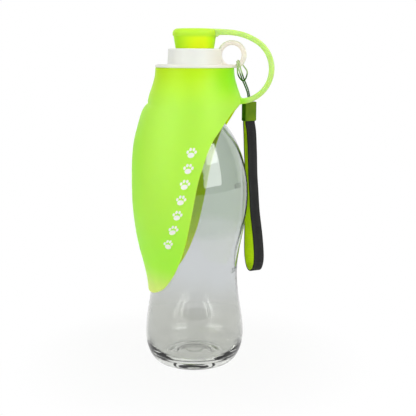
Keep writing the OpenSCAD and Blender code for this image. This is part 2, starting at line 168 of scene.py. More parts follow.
def rounded(corners, closed=False, steps=6, ease=0.2):
    """Outline through corners (x, y, radius). At each corner with a radius the line follows the
    circle that touches both sides: the rational curve ((1-s)^2 A + 2 s (1-s) w P + s^2 B) /
    ((1-s)^2 + 2 s (1-s) w + s^2), where w is the sine of half the corner's angle."""
    line = []
    n = len(corners)
    for i, (x, y, radius) in enumerate(corners):
        here = np.array([x, y], float)
        if radius <= 0 or (not closed and i in (0, n - 1)):
            line.append(here[None])
            continue
        before = np.array(corners[i - 1][:2], float) - here
        after = np.array(corners[(i + 1) % n][:2], float) - here
        u, v = before / np.linalg.norm(before), after / np.linalg.norm(after)
        half = math.acos(float(np.clip(u @ v, -1, 1))) / 2
        reach = radius / math.tan(half)
        a, b, w = here + u * reach, here + v * reach, math.sin(half)
        s = np.linspace(0, 1, steps + 1)[:, None]
        under = (1 - s) ** 2 + 2 * s * (1 - s) * w + s ** 2
        arc = ((1 - s) ** 2 * a + 2 * s * (1 - s) * w * here + s ** 2 * b) / under
        lead = []
        if ease and np.linalg.norm(before) > reach + 2 * ease:
            lead = [(a + u * ease)[None]]
        tail = []
        if ease and np.linalg.norm(after) > reach + 2 * ease:
            tail = [(b + v * ease)[None]]
        line += lead + [arc] + tail
    return np.concatenate(line)


def box(x0, x1, y0, y1, radius, **how):
    """Closed outline of a rectangle with round corners."""
    return rounded([(x0, y0, radius), (x1, y0, radius), (x1, y1, radius), (x0, y1, radius)],
                   closed=True, **how)


def edge_round(radius):
    """Rows of a quarter circle at an edge: how far in they lie, and how far along."""
    turn = np.linspace(0, np.pi / 2, 6)
    return radius * (1 - np.sin(turn)), radius * (1 - np.cos(turn))


def polar(radius, angle, z):
    """Points at a radius, an angle about Z and a height."""
    return np.stack(np.broadcast_arrays(radius * np.cos(angle), radius * np.sin(angle), z), -1)


def thread_rise(z, angle, start, turns):
    """Height of a screw thread over its wall at height z and angle: a ridge with sloping sides
    around the helix z = start + pitch * turn, run out at both ends."""
    height = np.zeros(np.broadcast(z, angle).shape)
    for lap in range(-1, int(turns) + 2):
        run = angle / TURN + lap
        off = np.abs(z - start - PITCH * run)
        ends = np.clip(np.minimum(run, turns - run) / 0.1 + 0.15, 0, 1)
        inside = (run >= -0.015) & (run <= turns + 0.015)
        ridge = np.clip((0.95 - off) / 0.5, 0, 1)
        ridge = ridge * ridge * (3 - 2 * ridge)
        height = np.maximum(height, np.where(inside, ridge * ends, 0))
    return THREAD_H * height


def turned(name, outline, steps=128, rise=None, closed=True):
    """Solid of revolution: the outline (radius, height) turned about Z. rise(radius, z, angle)
    is what the wall stands out by, such as a thread."""
    angle = np.arange(steps) * TURN / steps
    radius, z = outline[:, :1], outline[:, 1:]
    if rise is not None:
        radius = radius + rise(radius, z, angle[None])
    return welded(surface(name, polar(radius, angle, z), loop_rows=closed, loop_cols=True))


def along(points, steps):
    """Catmull-Rom line through the points, with that many steps between two of them."""
    p = np.asarray(points, float)
    n = len(p)
    t = np.linspace(0, n - 1, steps * (n - 1) + 1)
    i = np.clip(np.floor(t).astype(int), 0, n - 2)
    s = (t - i)[:, None]
    a, b, c, d = p[np.maximum(i - 1, 0)], p[i], p[i + 1], p[np.minimum(i + 2, n - 1)]
    return (b + s / 2 * (c - a) + s * s / 2 * (2 * a - 5 * b + 4 * c - d)
            + s ** 3 / 2 * (3 * b - a - 3 * c + d))


def unit(v):
    """Directions of length one."""
    return v / np.linalg.norm(v, axis=-1, keepdims=True)


def run_length(line):
    """Distance from a line's first point to each of its points, along the line."""
    return np.r_[0, np.cumsum(np.linalg.norm(np.diff(line, axis=0), axis=1))]


def capped(points, first, last):
    """Rows of points with a pole before the first row and another after the last."""
    pole = (1,) + points.shape[1:]
    return np.concatenate([np.broadcast_to(first, pole), points, np.broadcast_to(last, pole)])


def headings(line):
    """Direction of travel at each point of a line."""
    return unit(np.gradient(line, axis=0))


def smooth(stations, z):
    """Value at z of the smooth line through stations (z, value) in falling order: cubic Hermite
    pieces whose slopes are those between the neighbours on both sides."""
    x, y = np.array(stations, float).T
    n = len(x)
    before, after = np.maximum(np.arange(n) - 1, 0), np.minimum(np.arange(n) + 1, n - 1)
    slope = (y[after] - y[before]) / (x[after] - x[before])
    i = np.clip(np.searchsorted(-x, -z) - 1, 0, n - 2)
    h = x[i + 1] - x[i]
    t = np.clip((z - x[i]) / h, 0, 1)
    return ((2 * t ** 3 - 3 * t ** 2 + 1) * y[i] + (t ** 3 - 2 * t ** 2 + t) * h * slope[i]
            + (3 * t ** 2 - 2 * t ** 3) * y[i + 1] + (t ** 3 - t ** 2) * h * slope[i + 1])


def soft_max(a, b, k):
    """The larger of two values, with a round change between them about k wide."""
    return (a + b + np.sqrt((a - b) ** 2 + k * k)) / 2


# ---- bottle -----------------------------------------------------------

def body_r(z):
    """Outer radius of the blown body: elliptical foot, cosine waist, elliptical shoulder."""
    foot = STAND_R + (FOOT_R - STAND_R) * np.sqrt(np.clip(1 - (1 - z / FOOT_Z) ** 2, 0, 1))
    wave = lambda a, b, t: a + (b - a) * (1 - np.cos(np.pi * np.clip(t, 0, 1))) / 2
    low = wave(FOOT_R, WAIST_R, (z - FOOT_Z) / (WAIST_Z - FOOT_Z))
    high = wave(WAIST_R, BULGE_R, (z - WAIST_Z) / (BULGE_Z - WAIST_Z))
    top = BULGE_R * np.sqrt(np.clip(1 - ((z - BULGE_Z) / SHOULDER_H) ** 2, 0, 1))
    return np.select([z < FOOT_Z, z < WAIST_Z, z < BULGE_Z], [foot, low, high], top)


def floor_z(r):
    """Underside of the base: a pushed-up dome with two shallow rings, run out on the stand."""
    dome = PUSH_UP * (1 - (r / DOME_R) ** 2)
    rings = sum(step * np.tanh((radius - r) / 0.7) for radius, step in DOME_RINGS)
    dome = dome + rings * np.clip((21 - r) / 4, 0, 1) - DOME_SINK
    stand = PUSH_UP * (1 - (STAND_R / DOME_R) ** 2) - DOME_SINK
    return soft_max(dome, 0 * r, DOME_EDGE) - soft_max(stand, 0, DOME_EDGE)


def make_bottle():
    """The bottle's skin as one closed outline turned about Z: outside up from the middle of the
    base to the mouth, over the lip, and down the inside at the wall's thickness, measured
    square to the outside. In the foot the inside turns along a circle, so the corner is
    thicker, and follows the pushed-up floor. The thread is a rise of the neck's rows."""
    r_floor = np.linspace(0, STAND_R, 50)[:-1]
    low = FOOT_Z * (1 - np.cos(np.linspace(0, np.pi / 2, 28)))
    z_body = np.concatenate([low, np.linspace(FOOT_Z, SHOULDER_Z, 100)[1:],
                             np.linspace(SHOULDER_Z, NECK_Z, 36)[1:]])
    plain = z_body < 150  # below this the neck's radius plays no part
    out = np.stack([soft_max(body_r(z_body), NECK_R, 1.2), z_body], -1)
    out[plain, 0] = body_r(z_body[plain])
    neck = rounded([(NECK_R, NECK_Z, 0), (NECK_R, BEAD_Z - 1.4, 0.5), (BEAD_R, BEAD_Z - 0.6, 0.4),
                    (BEAD_R, BEAD_Z + 0.6, 0.4), (NECK_R, BEAD_Z + 1.4, 0.5), (NECK_R, SCREW_Z, 0)],
                   steps=4, ease=0.15)[1:]
    screw = np.stack([np.full(44, NECK_R), np.linspace(202.2, 213, 44)], -1)
    lip_z = MOUTH_Z - 2.5
    lip = rounded([(NECK_R, lip_z, 0), (NECK_R, MOUTH_Z, 0.5), (BORE_R, MOUTH_Z, 0.5),
                   (BORE_R, lip_z, 0)], steps=5, ease=0.15)
    body = np.concatenate([np.stack([r_floor, floor_z(r_floor)], -1), out])
    shell = body[::-1]
    run = np.gradient(shell, axis=0)
    square = unit(np.stack([-run[:, 1], run[:, 0]], -1))
    inner = shell - WALL * square
    inner[:, 0] = np.where(inner[:, 1] > 150, soft_max(inner[:, 0], BORE_R, 0.8) - 0.1, inner[:, 0])
    inner = inner[inner[:, 1] > FOOT_IN_Z]
    turn = np.linspace(0, np.pi / 2, 40)
    flat_r = inner[-1, 0] - FOOT_IN
    foot_r = np.r_[flat_r + FOOT_IN * np.cos(turn[1:]), np.linspace(flat_r, 0, 40)[1:]]
    foot_z = inner[-1, 1] - FOOT_IN * np.sin(turn[np.r_[1:40, [39] * 39]])
    foot_z = soft_max(foot_z, floor_z(foot_r) + FLOOR_WALL, 1.2) - 0.1
    inner = np.concatenate([inner, np.stack([foot_r, foot_z], -1)])
    bore = np.stack([np.full(8, BORE_R), np.linspace(210, inner[0, 1] + 2, 8)], -1)
    outline = np.concatenate([body, neck, screw, lip, bore, inner[inner[:, 0] >= 0]])

    def rise(radius, z, angle):
        on_neck = (np.abs(radius - NECK_R) < 0.01) & (z > SCREW_Z + 0.1)
        return np.where(on_neck, thread_rise(z, angle, NECK_THREAD_Z, NECK_TURNS), 0)

    return turned("bottle_body", outline, 144, rise, closed=False)


# ---- cap and seal -----------------------------------------------------

def make_cap():
    """The cap's outline turned about Z, with the female thread as a rise toward the axis, and
    the lanyard ring as a rounded section carried round its centre and cut flat at its foot."""
    z = np.linspace(211.4, 202.2, 38)
    outline = np.concatenate([
        rounded([(SKIRT_IN, SCREW_Z, 0), (SKIRT_IN, SKIRT_Z, 0.5), (SKIRT_R, SKIRT_Z, 0.5),
                 (SKIRT_R, FLANGE_Z, 0.2), (FLANGE_R, FLANGE_Z, 0.6), (FLANGE_R, FLANGE_TOP, 0.7),
                 (CAP_R + 0.05, FLANGE_TOP, 0.7), (CAP_TOP_R, CAP_TOP_Z, 0.9),
                 (SPOUT_R, CAP_TOP_Z, 0.4), (SPOUT_R, SPOUT_END_Z, 0.2),
                 (SPOUT_R + 1.4, SPOUT_END_Z, 0.2), (SPOUT_R + 1.4, CAP_TOP_Z - 1.8, 0.5),
                 (CAP_TOP_R - 1.8, CAP_TOP_Z - 1.8, 0.5), (CAP_R - 1.8, FLANGE_Z, 0.3),
                 (SKIRT_IN, FLANGE_Z, 0.3), (SKIRT_IN, 211.6, 0)]),
        np.stack([np.full(38, SKIRT_IN), z], -1)])

    def rise(radius, height, angle):
        on_skirt = (np.abs(radius - SKIRT_IN) < 0.01) & (height > 202.1) & (height < 211.5)
        return np.where(on_skirt, -thread_rise(height, angle, CAP_THREAD_Z, CAP_TURNS), 0)

    shell = turned("cap_shell", outline, 144, rise)

    half = RING_T / 2
    section = box(RING_IN, RING_OUT, -half, half, 1.1, ease=0)
    angle = np.arange(120) * TURN / 120
    radius, across = section[:, 0][None], section[:, 1][None]
    x = RING_X + radius * np.cos(angle)[:, None]
    z = np.maximum(RING_Z + radius * np.sin(angle)[:, None], FLANGE_Z + 0.1)
    ring = surface("cap_ring", np.stack([x, across + 0 * x, z], -1), True, True)

    tab = slab("cap_tab", box(FLANGE_R - 4, FLANGE_R + 2, -2.4, 2.4, 0.8, ease=0),
               FLANGE_Z, FLANGE_TOP, 0.6)
    return joined("cap_body", [shell, ring, tab])


def slab(name, outline, z0, z1, edge):
    """Solid between two heights over a closed outline: its rows shrink toward the middle along a
    quarter circle at each end and close in a pole."""
    middle = outline.mean(0)
    shrink, rise = edge_round(edge)
    shrink = np.r_[shrink, shrink[::-1]]
    height = np.r_[z0, z0 + rise, (z1 - rise)[::-1], z1]
    run = np.gradient(np.r_[outline[-1:], outline, outline[:1]], axis=0)[1:-1]
    normal = unit(np.stack([run[:, 1], -run[:, 0]], -1))
    rings = capped(outline[None] - normal[None] * shrink[:, None, None], middle, middle)
    points = np.concatenate([rings, np.broadcast_to(height[:, None, None],
                                                    (len(height), len(outline), 1))], -1)
    return welded(surface(name, points, loop_cols=True))


def make_seal():
    """A flat ring turned about Z, from the bottle's mouth to the cap's flange."""
    return turned("seal_ring", box(CAP_R - 1.2, SKIRT_IN - 0.2, MOUTH_Z, FLANGE_Z, 0.3), 96)


def make_stopper():
    """The stopper's outline turned about Z: spigot, tapered body, band with a round top edge and
    a shallow dish."""
    dish = np.linspace(KNOB_R - 3.7, 0, 14)
    outline = np.concatenate([
        np.array([(0, SPIGOT_Z)]),
        rounded([(0.1, SPIGOT_Z, 0), (7.2, SPIGOT_Z, 0.4), (7.9, SPIGOT_Z + 3.4, 0.6),
                 (7.5, SPIGOT_Z + 4.4, 0.4), (SPOUT_R - 0.1, CAP_TOP_Z - 0.6, 0.3),
                 (SPOUT_R - 0.1, CAP_TOP_Z, 0.2), (KNOB_FOOT_R, CAP_TOP_Z, 0.7),
                 (KNOB_R - 0.75, KNOB_BAND_Z - 0.6, 1.6), (KNOB_R, KNOB_BAND_Z + 0.5, 1.2),
                 (KNOB_R, KNOB_TOP_Z, 3.3), (KNOB_R - 3.6, KNOB_TOP_Z, 0)]),
        np.stack([dish, KNOB_TOP_Z - 0.6 * (1 - (dish / (KNOB_R - 3.6)) ** 6)], -1)])
    return turned("stopper_plug", outline, 128, closed=False)


# ---- silicone bowl ----------------------------------------------------

BELL = [(FLANGE_Z - BELL_H * s, FLANGE_R * r) for s, r in
        [(0, 0.995), (0.295, 1.02), (0.546, 1.079), (0.824, 1.158), (1, 1.194)]]


def leaf_line(stations):
    """Stations (share of the leaf's length, share of the bulge's radius) in millimetres."""
    return [(FOLD_Z - LEAF_LEN * s, BULGE_R * r) for s, r in stations]


MIDDLE = BELL + leaf_line([
    (0.005, 0.886), (0.022, 0.935), (0.046, 0.981), (0.103, 1.045), (0.2, 1.133),
    (0.29, 1.169), (0.378, 1.179), (0.45, 1.179), (0.54, 1.169), (0.675, 1.115),
    (0.768, 1.05), (0.848, 0.974), (0.935, 0.908), (1, 0.884), (1.04, 0.88)])
SIDES = BELL + leaf_line([
    (0.06, 0.911), (0.204, 1.004), (0.349, 1.063), (0.479, 1.084), (0.638, 1.044),
    (0.783, 0.965), (0.935, 0.898), (1.04, 0.893)])
HEM = [(-phi, FOLD_Z - LEAF_LEN * s) for phi, s in [
    (0, 1), (20, 0.999), (35.5, 0.993), (49.5, 0.97), (59, 0.942), (72.2, 0.87),
    (81.5, 0.783), (87.8, 0.696), (93, 0.576), (99.8, 0.391), (105, 0.302), (110.5, 0.228),
    (118.5, 0.161), (140.2, 0.058), (152.8, 0.025), (165, 0.006), (180, 0.004)]]


def bowl_r(phi, z):
    """Outer radius at phi radians from the leaf's middle: in the front half an ellipse in plan
    between the middle's and the sides' outlines, behind it the sides' outline, less a short
    crease along the fold."""
    a, b = smooth(MIDDLE, z), smooth(SIDES, z)
    ring = 1 / np.sqrt((np.cos(phi) / a) ** 2 + (np.sin(phi) / b) ** 2)
    crease = 0.9 * np.exp(-((z - FOLD_Z - 0.2) / 0.8) ** 2 - (phi / 0.32) ** 2)
    return np.where(np.abs(phi) >= np.pi / 2, b, ring) - crease


def bowl_wall(z):
    """Wall: the cap's skirt fills it at the top, then the collar's and the leaf's."""
    seat = FLANGE_Z - 6.7
    bell = smooth(BELL, np.maximum(z, seat)) - SKIRT_R - 0.05
    thin = COLLAR_WALL + (bell - COLLAR_WALL) * np.clip((z - seat + 3) / 3, 0, 1)
    low = COLLAR_WALL + (LEAF_WALL - COLLAR_WALL) * np.clip((FOLD_Z - z) / 3, 0, 1)
    return np.where(z > seat, bell, np.where(z > FOLD_Z, thin, low))


def on_bowl(phi, z, depth=0.0):
    """Points of the bowl that far inside its outer face."""
    r = bowl_r(phi, z) - depth
    return np.stack([-r * np.cos(phi), r * np.sin(phi), z + 0 * r], -1)


def hem_z(phi):
    """Height of the hem at phi radians from the leaf's middle."""
    return smooth(HEM, -np.abs(np.degrees(phi)))


def make_bowl():
    """Collar and leaf as one skin over (place along the hem, depth below the flange). Columns
    start at equal steps along the hem, drawn back from it by half the wall; rows run from the
    flange down the outside, over the hem in a half circle, up the inside and over the top."""
    fine = np.linspace(-np.pi, np.pi, 2881)
    length = run_length(on_bowl(fine, hem_z(fine)))
    count = 260
    phi = np.interp(np.arange(count) / count * length[-1], length, fine)
    # draw back: in the unrolled plane (arc, height), square to the hem
    reach = LEAF_WALL / 2
    z = hem_z(phi)
    slope = (hem_z(phi + 0.002) - hem_z(phi - 0.002)) / 0.004
    arc = bowl_r(phi, z)
    back = unit(np.stack([-slope / arc, np.ones(count)], -1)) * reach
    phi_in, z_in = phi + back[:, 0] / arc, z + back[:, 1]

    top = FLANGE_Z - 0.02
    full = (top - z_in)[None]
    near = np.minimum(18.0, 0.7 * full)
    far = np.minimum(30.0, near + 0.5 * (full - near))
    s, s_near, s_far = np.linspace(0, 1, 116)[:, None], 0.16, 0.42  # rows crowd at the top
    depth = np.where(s < s_near, near * s / s_near,
                     np.where(s < s_far, near + (far - near) * (s - s_near) / (s_far - s_near),
                              far + (full - far) * (s - s_far) / (1 - s_far)))
    z_rows = top - depth
    wall = bowl_wall(z_rows)
    outside = on_bowl(phi_in[None], z_rows)
    inside = on_bowl(phi_in[None], z_rows, wall)

    middle = (outside[-1] + inside[-1]) / 2
    out = unit(outside[-1] - inside[-1])
    half = np.linalg.norm(outside[-1] - inside[-1], axis=-1, keepdims=True) / 2
    run = unit(np.roll(middle, -1, 0) - np.roll(middle, 1, 0))
    away = unit(np.cross(out, run))
    a = np.linspace(0, np.pi, 9)[1:-1, None, None]
    edge = middle + half * (np.cos(a) * out + np.sin(a) * away)
    points = np.concatenate([outside, edge, inside[::-1]])
    piece = surface("silicone_bowl", points[:, ::-1], loop_rows=True, loop_cols=True)
    note(piece.data, "print_place", print_place(read_points(piece.data) / MM))
    return piece


PRINT_TOP, PRINT_SLANT, PRINT_STEP, PRINTS = 167.0, 1.07, 11.6, 7
PRINT_LINE = [(PRINT_TOP, -95.5), (157.0, -92.5), (147.0, -90.0), (133.0, -85.5), (121.0, -81.5),
              (109.5, -77.0), (96.5, -69.0)]


def print_place(points):
    """Place of each point on the printed row: millimetres down it (its height's, times the
    row's slant), millimetres across it, and how far outside the wall's middle it lies."""
    x, y, z = points.T
    phi = np.arctan2(y, -x)
    centre = np.radians(smooth(PRINT_LINE, z))
    across = (phi - centre) * np.hypot(x, y)
    outside = np.hypot(x, y) - bowl_r(phi, z) + LEAF_WALL / 2
    return np.stack([(PRINT_TOP - z) * PRINT_SLANT, across, outside], -1)


# ---- tether -----------------------------------------------------------

def make_tether():
    """The strap's rounded section carried along its line: out of the collar, round the lower
    loop, round the flatter upper arc and into the stopper's top band. At the collar its upper
    face runs out along a circle that touches the strap and the slanting wall; at the stopper
    its lower face spreads by a quarter circle and its upper face rises to the band's top."""
    lower = np.radians(np.linspace(-90, math.degrees(BEND), 90))
    upper = np.linspace(BEND, np.pi / 2, 30)[1:]
    start = np.linspace(TETHER_FROM, LOOP[0], 4)[:-1]
    end = np.linspace(ARM[0], TETHER_TO, 30)[1:]
    x = np.concatenate([start, LOOP[0] + LOOP_R * np.cos(lower),
                        ARM[0] + ARM_R * np.cos(upper), end])
    z = np.concatenate([0 * start + LOOP[1] - LOOP_R, LOOP[1] + LOOP_R * np.sin(lower),
                        ARM[1] + ARM_R * np.sin(upper), 0 * end + ARM_Z])
    line = np.stack([x, 0 * x, z], -1)
    t = headings(line)
    t[0], t[-1] = (1, 0, 0), (-1, 0, 0)
    out = np.stack([t[:, 2], 0 * x, -t[:, 0]], -1)
    run = np.arange(len(x))
    at_collar, at_knob = run < 60, run > 90

    def spread(distance, radius):
        d = np.clip(1 - distance / radius, 0, 1)
        return radius * (1 - np.sqrt(1 - d * d))

    near = np.where(at_collar, x - COLLAR_X, 99.0)
    knob = np.where(at_knob, x - KNOB_R, 99.0)
    rise = np.where(at_knob, np.clip((25 - x) / 11, 0, 1), 0.0)
    inner = (TETHER_T / 2 + spread(np.clip(near, 0.12, None), 3.0)
             + spread(np.clip(knob, 0.2, None), 2.3))
    outer = (TETHER_T / 2 + 0.5 * rise * rise * (3 - 2 * rise)
             - 0.9 * np.where(at_knob, np.clip((12.8 - x) / 1.6, 0, 1), 0) ** 2)
    half = TETHER_W / 2
    k = 1.1  # radius of the section's corners
    turn = np.linspace(0, np.pi / 2, 6)
    corner = np.stack([np.cos(turn), np.sin(turn)], -1) * k
    rows = []
    for sx, sy in [(1, 1), (-1, 1), (-1, -1), (1, -1)]:
        quarter = corner if sx * sy > 0 else corner[::-1]
        reach = (outer if sx > 0 else inner)[:, None] - k
        offset = sx * (reach + quarter[None, :, 0])
        breadth = sy * (half - k + quarter[None, :, 1]) + 0 * offset
        rows.append(np.stack([offset, breadth], -1))
    section = np.concatenate(rows, 1)
    across = np.array([0.0, 1.0, 0.0])
    points = line[:, None] + section[..., :1] * out[:, None] + section[..., 1:] * across
    return welded(surface("silicone_tether", capped(points, line[0], line[-1]), loop_cols=True))


# ---- lanyard ----------------------------------------------------------

CORD_ROUTE = [
    (39.2, 10.6, 190.6), (39.2, 10.6, 194), (38.4, 8.8, 201), (36.4, 5.4, 207),
    (35.3, 2.9, 210), (34.3, -0.4, 213.4), (33.3, -2.7, 217), (32.2, -2.75, 220.6),
    (31.3, -2.2, 223.1), (31, 0, 223.5), (31.4, 2.2, 223.1), (33.1, 2.8, 221.2),
    (35.3, 2.6, 219), (37.4, 1.8, 215.8), (37, 1.2, 212.2), (35.5, 0.6, 209.5),
    (33.8, 0.6, 209.6), (31.7, 1.2, 212), (30.6, 2, 215), (30.4, 2.75, 218.5),
    (30.2, 2.75, 221), (30.2, 2, 222.4), (30.2, 0, 222.7), (30.3, -2.1, 222.5),
    (31, -2.75, 219.8), (32.1, -2.7, 216.2), (33.2, -0.4, 212.6), (34.2, 2.9, 209.2),
    (35.4, 5.4, 206.2), (37.4, 8.4, 200.4), (38.2, 9.8, 194), (38.2, 9.8, 190.6)]
WEB_ROUTE = [
    (38.06, 10.97, 189.5), (38.06, 10.97, 185), (38.06, 10.97, 181), (38.06, 10.97, 178.5),
    (38.4, 12.4, 171), (38.8, 14.7, 157), (39.6, 17.2, 140), (40, 18.2, 126),
    (39.9, 18.8, 112), (39.7, 19.3, 93), (40, 19, 78), (41.6, 16.2, 69.9),
    (43.8, 12.8, 67.6), (46.1, 9.1, 69.9), (47.5, 6.7, 78), (46.4, 8.3, 93),
    (43.7, 13.5, 112), (42.6, 15.2, 126), (41.6, 15.2, 140), (41.1, 12.4, 157),
    (40.4, 10.7, 171), (39.34, 9.43, 178.5), (39.34, 9.43, 181), (39.34, 9.43, 185),
    (39.34, 9.43, 189.5)]


def carried(line, start):
    """Directions of travel, and a side direction taken along the line without twist."""
    t = headings(line)
    side = [unit(start - (start @ t[0]) * t[0])]
    for step in t[1:]:
        side.append(unit(side[-1] - (side[-1] @ step) * step))
    return t, np.array(side)


def swept(name, points, line, girth, off=0):
    """Skin over the sections carried along a line, closed in a pole at both ends, where the
    section's middle lies off the line by off. Its run holds how far along the line and round
    the section each point lies."""
    length = run_length(line)
    middle = line + off
    return welded(surface(name, capped(points, middle[0], middle[-1])[:, ::-1], loop_cols=True,
                          uv=(np.r_[0, length, length[-1]], girth)))


def make_cord():
    """Round section carried along the cord's line."""
    line = along(CORD_ROUTE, 6)
    t, side = carried(line, np.array([0.0, 1.0, 0.0]))
    up = np.cross(t, side)
    angle = np.arange(16) * TURN / 16
    ring = np.cos(angle)[:, None] * side[:, None] + np.sin(angle)[:, None] * up[:, None]
    return swept("lanyard_cord_braid", line[:, None] + CORD_D / 2 * ring, line,
                 np.arange(17) / 16), line


def web_frame():
    """The webbing's line with its width direction and the direction to the loop's inside."""
    line = along(WEB_ROUTE, 8)
    t = headings(line)
    turn = np.radians(31 + 9 * np.clip((line[:, 2] - 80) / 60, 0, 1))
    s = np.stack([np.cos(turn), np.sin(turn), 0 * turn], -1)
    width = unit(s - (s * t).sum(-1, keepdims=True) * t)
    return line, width, np.cross(t, width)


def make_web(name, low, high):
    """One layer of the webbing: a flat section with round selvedges, from one offset to another
    toward the loop's inside, carried along the webbing's line."""
    line, width, inward = web_frame()
    section = box(-WEB_W / 2, WEB_W / 2, low, high, 0.35, steps=4, ease=0.4)
    points = (line[:, None] + section[None, :, :1] * width[:, None]
              + section[None, :, 1:] * inward[:, None])
    girth = run_length(np.r_[section, section[:1]])
    return swept(name, points, line, girth[::-1], (low + high) / 2 * inward)


def make_sleeve():
    """Sleeve: a rounded outline carried up, with round ends and a slot in its foot."""
    a, b = SLEEVE_W / 2, SLEEVE_T / 2
    outline = box(-a, a, -b, b, 1.3, ease=0.4)
    slot = outline * np.array([(WEB_W / 2 + 0.1) / a, (2 * WEB_T + 0.1) / b])
    inset, rise = edge_round(0.7)
    walls = [outline * np.array([(a - e) / a, (b - e) / b]) for e in (*inset, *inset[::-1])]
    flat = np.array([slot * 0, slot, slot, *walls, outline * 0.35, outline * 0])
    height = np.r_[2.5, 2.5, 0.3, rise, (SLEEVE_H - rise)[::-1], SLEEVE_H, SLEEVE_H - 0.15]
    c, s = math.cos(SLEEVE_TURN), math.sin(SLEEVE_TURN)
    x = SLEEVE_AT[0] + flat[..., 0] * c - flat[..., 1] * s
    y = SLEEVE_AT[1] + flat[..., 0] * s + flat[..., 1] * c
    z = SLEEVE_AT[2] + height[:, None] + 0 * x
    return welded(surface("strap_sleeve", np.stack([x, y, z], -1), loop_cols=True))


# ---- finishes ---------------------------------------------------------

def sum_node(operation, swap=False):
    """A method that adds one Math node; swap is for the reflected operators, as in 1 - mask."""
    return lambda self, *others: self.finish.node(
        "ShaderNodeMath", {"operation": operation}, (*others, self) if swap else (self, *others))


class Link:
    """An output socket that takes part in sums."""

    def __init__(self, finish, socket):
        self.finish, self.socket = finish, socket

    __add__ = __radd__ = sum_node("ADD")
    __sub__, __rsub__ = sum_node("SUBTRACT"), sum_node("SUBTRACT", swap=True)
    __mul__ = __rmul__ = sum_node("MULTIPLY")
    __truediv__, __rtruediv__ = sum_node("DIVIDE"), sum_node("DIVIDE", swap=True)
    __pow__, most = sum_node("POWER"), sum_node("MAXIMUM")
    sine, size, part = sum_node("SINE"), sum_node("ABSOLUTE"), sum_node("FRACT")

    def ramp(self, low, high, a=0.0, b=1.0):
        """Smooth change from a to b as this goes from low to high."""
        return self.finish.node("ShaderNodeMapRange", {"interpolation_type": "SMOOTHSTEP"},
                                {"Value": self, "From Min": low, "From Max": high,
                                 "To Min": a, "To Max": b})


class Finish:
    """A material, or the world, and its nodes."""

    def __init__(self, name, kind=bpy.data.materials):
        self.holder = kind.new(name)
        self.holder.use_nodes = True
        self.tree = self.holder.node_tree
        self.tree.nodes.clear()

    def node(self, kind, settings, sockets, out=0):
        """Adds a node of that kind, sets its settings first and then its sockets, by order or
        by name, and returns its output. A written colour such as #B0F050 becomes linear."""
        made = self.tree.nodes.new(kind)
        for key, value in settings.items():
            setattr(made, key, value)
        pairs = sockets.items() if isinstance(sockets, dict) else enumerate(sockets)
        for key, value in pairs:
            if isinstance(value, Link):
                self.tree.links.new(value.socket, made.inputs[key])
            else:
                made.inputs[key].default_value = tone(value) if isinstance(value, str) else value
        return Link(self, made.outputs[out]) if made.outputs else made

    def place(self):
        return self.node("ShaderNodeTexCoord", {}, {}, "Object")

    def noted(self, name):
        """What note() wrote at each point; rest_place is where it lies at rest, so that a piece
        that bends keeps its colours."""
        return self.node("ShaderNodeAttribute", {"attribute_name": name}, {}, "Vector")

    def outs(self, kind, sockets, names):
        """Several outputs of one node."""
        made = self.node(kind, {}, sockets).socket.node
        return [Link(self, made.outputs[name]) for name in names]

    def axes(self, vector):
        return self.outs("ShaderNodeSeparateXYZ", [vector], "XYZ")

    def rays(self, *kinds):
        """Masks of those kinds of ray."""
        return self.outs("ShaderNodeLightPath", {}, ["Is %s Ray" % kind for kind in kinds])

    def noise(self, vector, scale, detail=2.0, rough=0.5):
        return self.node("ShaderNodeTexNoise", {}, {"Vector": vector, "Scale": scale,
                                                    "Detail": detail, "Roughness": rough})

    def stretch(self, vector, scale):
        return self.node("ShaderNodeMapping", {}, {"Vector": vector, "Scale": scale})

    def mix(self, amount, a, b):
        """Colour between a and b."""
        return self.node("ShaderNodeMix", {"data_type": "RGBA"}, {0: amount, 6: a, 7: b}, 2)

    def bump(self, height, distance, strength=1.0):
        return self.node("ShaderNodeBump", {}, {"Height": height, "Distance": distance,
                                                "Strength": strength})

    def plastic(self, **sockets):
        return self.node("ShaderNodeBsdfPrincipled", {},
                         {key.replace("_", " "): value for key, value in sockets.items()})

    def between(self, amount, a, b):
        """Shader between a and b."""
        return self.node("ShaderNodeMixShader", {}, {0: amount, 1: a, 2: b})

    def done(self, shader):
        self.node("ShaderNodeOutputMaterial", {}, {"Surface": shader})
        return self.holder


def tone(code):
    """Linear colour of a written colour."""
    parts = np.array([int(code[i:i + 2], 16) for i in (1, 3, 5)]) / 255
    linear = np.where(parts <= 0.04045, parts / 12.92, ((parts + 0.055) / 1.055) ** 2.4)
    return tuple(float(v) for v in linear) + (1.0,)


def clear_plastic():
    """Clear blown bottle with painted shade in its tint: greyer green over the upper body and
    greyer low down, standing for the darker room and the shadow seen through it; clearer between,
    darker where the wall is seen edge on; its surface has the slow waves that blowing leaves."""
    f = Finish("clear_bottle_plastic")
    place = f.place()
    z = f.axes(place)[2]
    drift = (f.noise(f.stretch(place, (1, 1, 0.6)), 22, 2.0) - 0.5) * 0.03
    # painted shade: the tint turns greyer green above about 100 mm, standing for the darker room
    # seen through the upper body
    high = (z + drift).ramp(0.094, 0.104)
    # painted shade: greyer below about 40 to 60 mm, standing for the shadow seen through the foot
    low = (z + drift).ramp(0.062, 0.04)
    body = f.mix(high, "#E2E4E5", "#D4DBD5")
    body = f.mix(low * 0.8, body, "#D8D9D4")
    edge = f.node("ShaderNodeLayerWeight", {}, {"Blend": 0.3}, "Facing")
    body = f.mix(edge ** 3.0, body, "#74807A")
    waves = f.noise(f.stretch(place, (1, 1, 0.35)), 38, 1.0)
    grain = f.noise(place, 900, 2.0)
    normal = f.bump(waves + grain * 0.002, 0.0016, 0.3)
    glass = f.plastic(Base_Color=body, Roughness=0.02, IOR=1.46, Transmission_Weight=1.0,
                      Normal=normal)
    shadow, soft = f.rays("Shadow", "Diffuse")
    through = f.node("ShaderNodeBsdfTransparent", {}, {"Color": "#FFFFFF"})
    return f.done(f.between(shadow.most(soft), glass, through))


